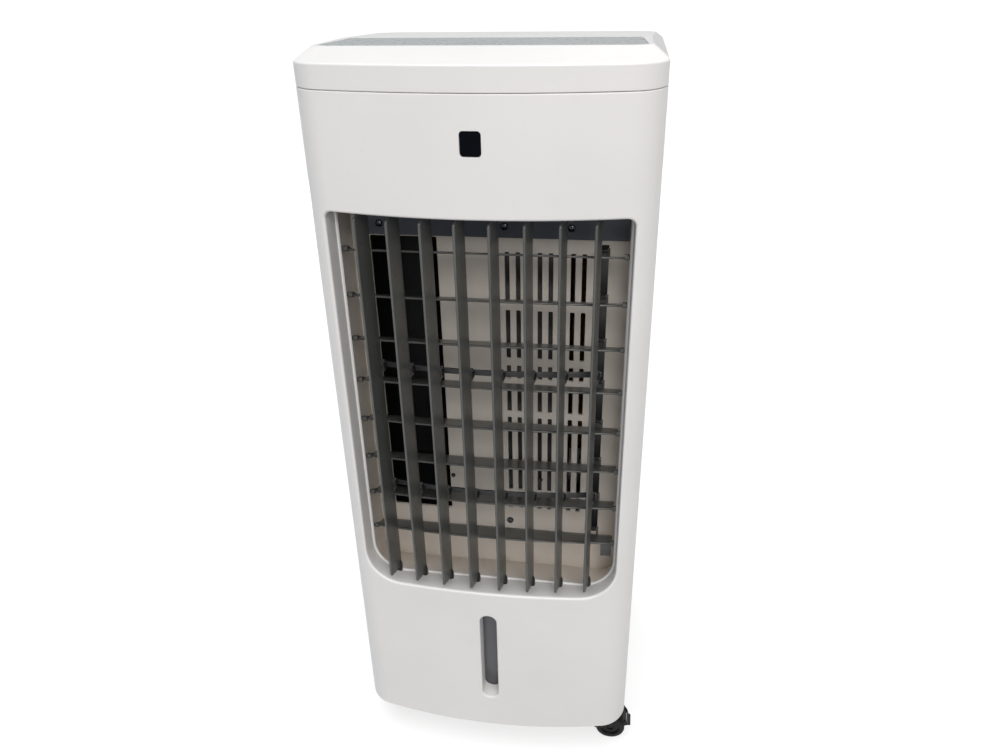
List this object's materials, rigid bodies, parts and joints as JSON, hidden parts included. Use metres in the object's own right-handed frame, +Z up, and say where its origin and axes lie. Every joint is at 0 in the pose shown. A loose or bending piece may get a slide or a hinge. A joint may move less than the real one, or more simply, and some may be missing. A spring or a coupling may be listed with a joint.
{
  "type": "portable evaporative air cooler",
  "caption": "Free-standing tower air cooler with a curved front, linked vertical and horizontal louvres, vertical blower, wet pad, slide-out water tank and swivel casters.",
  "frame": {"origin": "on the floor, under the centre of the bounding box", "axes": "+Z up, front of the cooler towards -Y, +X to the right of a person who faces the front"},
  "size_m": [0.296, 0.27, 0.714],
  "materials": {
    "shell": "satin white ABS",
    "duct": "matte warm white",
    "louvre": "satin dark grey",
    "black_plastic": "matte black",
    "panel": "satin dark grey",
    "button": "matte grey",
    "display": "gloss black",
    "gauge": "smoked semi-clear",
    "board": "solder mask green",
    "motor": "plated steel",
    "screw": "dark plated",
    "pad": "corrugated cellulose",
    "net": "woven nylon",
    "tank": "translucent grey-white",
    "hose": "milky silicone",
    "caster": "black nylon"
  },
  "bodies": {
    "housing": {"front_panel": "shell", "rear_housing": "shell", "top_cap": "shell", "control_panel": "panel", "circuit_board": "board", "display_window": "display", "gauge_window": "gauge", "air_duct": "duct", "top_rail": "black_plastic", "rail_screw_1": "screw", "rail_screw_2": "screw", "rail_screw_3": "screw", "swing_motor": "motor", "blower_housing": "black_plastic", "blower_motor": "motor", "water_tray": "duct", "water_hose": "hose", "base_plate": "black_plastic"},
    "vertical_louvre_1": {"vertical_louvre_1": "louvre"},
    "vertical_louvre_2": {"vertical_louvre_2": "louvre"},
    "vertical_louvre_3": {"vertical_louvre_3": "louvre"},
    "vertical_louvre_4": {"vertical_louvre_4": "louvre"},
    "vertical_louvre_5": {"vertical_louvre_5": "louvre"},
    "vertical_louvre_6": {"vertical_louvre_6": "louvre"},
    "vertical_louvre_7": {"vertical_louvre_7": "louvre"},
    "vertical_louvre_8": {"vertical_louvre_8": "louvre"},
    "horizontal_louvre_1": {"horizontal_louvre_1": "louvre"},
    "horizontal_louvre_2": {"horizontal_louvre_2": "louvre"},
    "horizontal_louvre_3": {"horizontal_louvre_3": "louvre"},
    "horizontal_louvre_4": {"horizontal_louvre_4": "louvre"},
    "horizontal_louvre_5": {"horizontal_louvre_5": "louvre"},
    "horizontal_louvre_6": {"horizontal_louvre_6": "louvre"},
    "horizontal_louvre_7": {"horizontal_louvre_7": "louvre"},
    "horizontal_louvre_8": {"horizontal_louvre_8": "louvre"},
    "swing_link_upper": {"swing_link_upper": "black_plastic"},
    "swing_link_lower": {"swing_link_lower": "black_plastic"},
    "tilt_link": {"tilt_link": "black_plastic"},
    "swing_crank": {"swing_crank": "black_plastic"},
    "blower_wheel": {"blower_wheel": "black_plastic"},
    "tank_latch": {"tank_latch": "button"},
    "grille_frame": {"rear_grille": "shell", "dust_filter": "net", "cooling_pad": "pad"},
    "tank": {"water_tank": "tank", "water_pump": "black_plastic"},
    "button_power": {"button_power": "button"},
    "button_speed": {"button_speed": "button"},
    "button_swing": {"button_swing": "button"},
    "button_cool": {"button_cool": "button"},
    "button_timer": {"button_timer": "button"},
    "caster_front_left": {"caster_fork_front_left": "caster"},
    "wheels_front_left": {"caster_wheels_front_left": "caster"},
    "caster_front_right": {"caster_fork_front_right": "caster"},
    "wheels_front_right": {"caster_wheels_front_right": "caster"},
    "brake_front_right": {"brake_lever_front_right": "caster"},
    "caster_rear_left": {"caster_fork_rear_left": "caster"},
    "wheels_rear_left": {"caster_wheels_rear_left": "caster"},
    "brake_rear_left": {"brake_lever_rear_left": "caster"},
    "caster_rear_right": {"caster_fork_rear_right": "caster"},
    "wheels_rear_right": {"caster_wheels_rear_right": "caster"}
  },
  "joints": [
    {"name": "louvre_swing_1", "type": "hinge", "parent": "housing", "child": "vertical_louvre_1", "pos_m": [-0.09555, -0.10325, 0.4], "axis": [0, 0, 1], "range_deg": [-22.6, 37.4]},
    {"name": "louvre_swing_2", "type": "hinge", "parent": "housing", "child": "vertical_louvre_2", "pos_m": [-0.06825, -0.10716, 0.4], "axis": [0, 0, 1], "range_deg": [-22.6, 37.4]},
    {"name": "louvre_swing_3", "type": "hinge", "parent": "housing", "child": "vertical_louvre_3", "pos_m": [-0.04095, -0.10975, 0.4], "axis": [0, 0, 1], "range_deg": [-22.6, 37.4]},
    {"name": "louvre_swing_4", "type": "hinge", "parent": "housing", "child": "vertical_louvre_4", "pos_m": [-0.01365, -0.11104, 0.4], "axis": [0, 0, 1], "range_deg": [-22.6, 37.4]},
    {"name": "louvre_swing_5", "type": "hinge", "parent": "housing", "child": "vertical_louvre_5", "pos_m": [0.01365, -0.11104, 0.4], "axis": [0, 0, 1], "range_deg": [-22.6, 37.4]},
    {"name": "louvre_swing_6", "type": "hinge", "parent": "housing", "child": "vertical_louvre_6", "pos_m": [0.04095, -0.10975, 0.4], "axis": [0, 0, 1], "range_deg": [-22.6, 37.4]},
    {"name": "louvre_swing_7", "type": "hinge", "parent": "housing", "child": "vertical_louvre_7", "pos_m": [0.06825, -0.10716, 0.4], "axis": [0, 0, 1], "range_deg": [-22.6, 37.4]},
    {"name": "louvre_swing_8", "type": "hinge", "parent": "housing", "child": "vertical_louvre_8", "pos_m": [0.09555, -0.10325, 0.4], "axis": [0, 0, 1], "range_deg": [-22.6, 37.4]},
    {"name": "swing_link_upper_pivot", "type": "hinge", "parent": "vertical_louvre_1", "child": "swing_link_upper", "pos_m": [-0.0944, -0.09443, 0.4445], "axis": [0, 0, 1], "range_deg": [-37.4, 22.6]},
    {"name": "swing_link_lower_pivot", "type": "hinge", "parent": "vertical_louvre_1", "child": "swing_link_lower", "pos_m": [-0.0944, -0.09443, 0.315], "axis": [0, 0, 1], "range_deg": [-37.4, 22.6]},
    {"name": "louvre_tilt_1", "type": "hinge", "parent": "housing", "child": "horizontal_louvre_1", "pos_m": [0, -0.0938, 0.554], "axis": [1, 0, 0], "range_deg": [-5, 45]},
    {"name": "louvre_tilt_2", "type": "hinge", "parent": "housing", "child": "horizontal_louvre_2", "pos_m": [0, -0.0938, 0.51215], "axis": [1, 0, 0], "range_deg": [-5, 45]},
    {"name": "louvre_tilt_3", "type": "hinge", "parent": "housing", "child": "horizontal_louvre_3", "pos_m": [0, -0.0938, 0.4703], "axis": [1, 0, 0], "range_deg": [-5, 45]},
    {"name": "louvre_tilt_4", "type": "hinge", "parent": "housing", "child": "horizontal_louvre_4", "pos_m": [0, -0.0938, 0.42845], "axis": [1, 0, 0], "range_deg": [-5, 45]},
    {"name": "louvre_tilt_5", "type": "hinge", "parent": "housing", "child": "horizontal_louvre_5", "pos_m": [0, -0.0938, 0.3866], "axis": [1, 0, 0], "range_deg": [-5, 45]},
    {"name": "louvre_tilt_6", "type": "hinge", "parent": "housing", "child": "horizontal_louvre_6", "pos_m": [0, -0.0938, 0.34475], "axis": [1, 0, 0], "range_deg": [-5, 45]},
    {"name": "louvre_tilt_7", "type": "hinge", "parent": "housing", "child": "horizontal_louvre_7", "pos_m": [0, -0.0938, 0.3029], "axis": [1, 0, 0], "range_deg": [-5, 45]},
    {"name": "louvre_tilt_8", "type": "hinge", "parent": "housing", "child": "horizontal_louvre_8", "pos_m": [0, -0.0938, 0.26105], "axis": [1, 0, 0], "range_deg": [-5, 45]},
    {"name": "tilt_link_pivot", "type": "hinge", "parent": "horizontal_louvre_1", "child": "tilt_link", "pos_m": [0.0985, -0.0679, 0.55], "axis": [1, 0, 0], "range_deg": [-45, 5]},
    {"name": "swing_crank_spin", "type": "hinge", "parent": "housing", "child": "swing_crank", "pos_m": [-0.06, -0.1, 0.608], "axis": [0, 0, 1], "continuous": true},
    {"name": "blower_spin", "type": "hinge", "parent": "housing", "child": "blower_wheel", "pos_m": [-0.03, 0.008, 0.4], "axis": [0, 0, 1], "continuous": true},
    {"name": "grille_pull", "type": "slide", "parent": "housing", "child": "grille_frame", "axis": [0, 1, 0], "range_m": [0, 0.06]},
    {"name": "tank_slide", "type": "slide", "parent": "housing", "child": "tank", "axis": [0, 1, 0], "range_m": [0, 0.15]},
    {"name": "tank_latch_turn", "type": "hinge", "parent": "housing", "child": "tank_latch", "pos_m": [0, 0.1315, 0.199], "axis": [0, 1, 0], "range_deg": [-90, 0]},
    {"name": "button_power_press", "type": "slide", "parent": "housing", "child": "button_power", "axis": [0, 0, -1], "range_m": [0, 0.0008], "stiffness_N_per_m": 250, "springref_m": -0.001},
    {"name": "button_speed_press", "type": "slide", "parent": "housing", "child": "button_speed", "axis": [0, 0, -1], "range_m": [0, 0.0008], "stiffness_N_per_m": 250, "springref_m": -0.001},
    {"name": "button_swing_press", "type": "slide", "parent": "housing", "child": "button_swing", "axis": [0, 0, -1], "range_m": [0, 0.0008], "stiffness_N_per_m": 250, "springref_m": -0.001},
    {"name": "button_cool_press", "type": "slide", "parent": "housing", "child": "button_cool", "axis": [0, 0, -1], "range_m": [0, 0.0008], "stiffness_N_per_m": 250, "springref_m": -0.001},
    {"name": "button_timer_press", "type": "slide", "parent": "housing", "child": "button_timer", "axis": [0, 0, -1], "range_m": [0, 0.0008], "stiffness_N_per_m": 250, "springref_m": -0.001},
    {"name": "caster_swivel_front_left", "type": "hinge", "parent": "housing", "child": "caster_front_left", "pos_m": [-0.112, -0.096, 0.045], "axis": [0, 0, 1], "continuous": true},
    {"name": "caster_roll_front_left", "type": "hinge", "parent": "caster_front_left", "child": "wheels_front_left", "pos_m": [-0.112, -0.082, 0.0155], "axis": [-1, 0, 0], "continuous": true},
    {"name": "caster_swivel_front_right", "type": "hinge", "parent": "housing", "child": "caster_front_right", "pos_m": [0.112, -0.096, 0.045], "axis": [0, 0, 1], "continuous": true},
    {"name": "caster_roll_front_right", "type": "hinge", "parent": "caster_front_right", "child": "wheels_front_right", "pos_m": [0.126, -0.096, 0.0155], "axis": [0, 1, 0], "continuous": true},
    {"name": "brake_lever_front_right_tip", "type": "hinge", "parent": "caster_front_right", "child": "brake_front_right", "pos_m": [0.1438, -0.096, 0.021], "axis": [0, -1, 0], "range_deg": [0, 18]},
    {"name": "caster_swivel_rear_left", "type": "hinge", "parent": "housing", "child": "caster_rear_left", "pos_m": [-0.112, 0.098, 0.045], "axis": [0, 0, 1], "continuous": true},
    {"name": "caster_roll_rear_left", "type": "hinge", "parent": "caster_rear_left", "child": "wheels_rear_left", "pos_m": [-0.126, 0.098, 0.0155], "axis": [0, -1, 0], "continuous": true},
    {"name": "brake_lever_rear_left_tip", "type": "hinge", "parent": "caster_rear_left", "child": "brake_rear_left", "pos_m": [-0.1438, 0.098, 0.021], "axis": [0, 1, 0], "range_deg": [0, 18]},
    {"name": "caster_swivel_rear_right", "type": "hinge", "parent": "housing", "child": "caster_rear_right", "pos_m": [0.112, 0.098, 0.045], "axis": [0, 0, 1], "continuous": true},
    {"name": "caster_roll_rear_right", "type": "hinge", "parent": "caster_rear_right", "child": "wheels_rear_right", "pos_m": [0.112, 0.112, 0.0155], "axis": [-1, 0, 0], "continuous": true}
  ],
  "couplings": [
    {"joint": "louvre_swing_2", "follows": "louvre_swing_1", "ratio": 1},
    {"joint": "louvre_swing_3", "follows": "louvre_swing_1", "ratio": 1},
    {"joint": "louvre_swing_4", "follows": "louvre_swing_1", "ratio": 1},
    {"joint": "louvre_swing_5", "follows": "louvre_swing_1", "ratio": 1},
    {"joint": "louvre_swing_6", "follows": "louvre_swing_1", "ratio": 1},
    {"joint": "louvre_swing_7", "follows": "louvre_swing_1", "ratio": 1},
    {"joint": "louvre_swing_8", "follows": "louvre_swing_1", "ratio": 1},
    {"joint": "swing_link_upper_pivot", "follows": "louvre_swing_1", "ratio": -1},
    {"joint": "swing_link_lower_pivot", "follows": "louvre_swing_1", "ratio": -1},
    {"joint": "louvre_tilt_2", "follows": "louvre_tilt_1", "ratio": 1},
    {"joint": "louvre_tilt_3", "follows": "louvre_tilt_1", "ratio": 1},
    {"joint": "louvre_tilt_4", "follows": "louvre_tilt_1", "ratio": 1},
    {"joint": "louvre_tilt_5", "follows": "louvre_tilt_1", "ratio": 1},
    {"joint": "louvre_tilt_6", "follows": "louvre_tilt_1", "ratio": 1},
    {"joint": "louvre_tilt_7", "follows": "louvre_tilt_1", "ratio": 1},
    {"joint": "louvre_tilt_8", "follows": "louvre_tilt_1", "ratio": 1},
    {"joint": "tilt_link_pivot", "follows": "louvre_tilt_1", "ratio": -1}
  ]
}
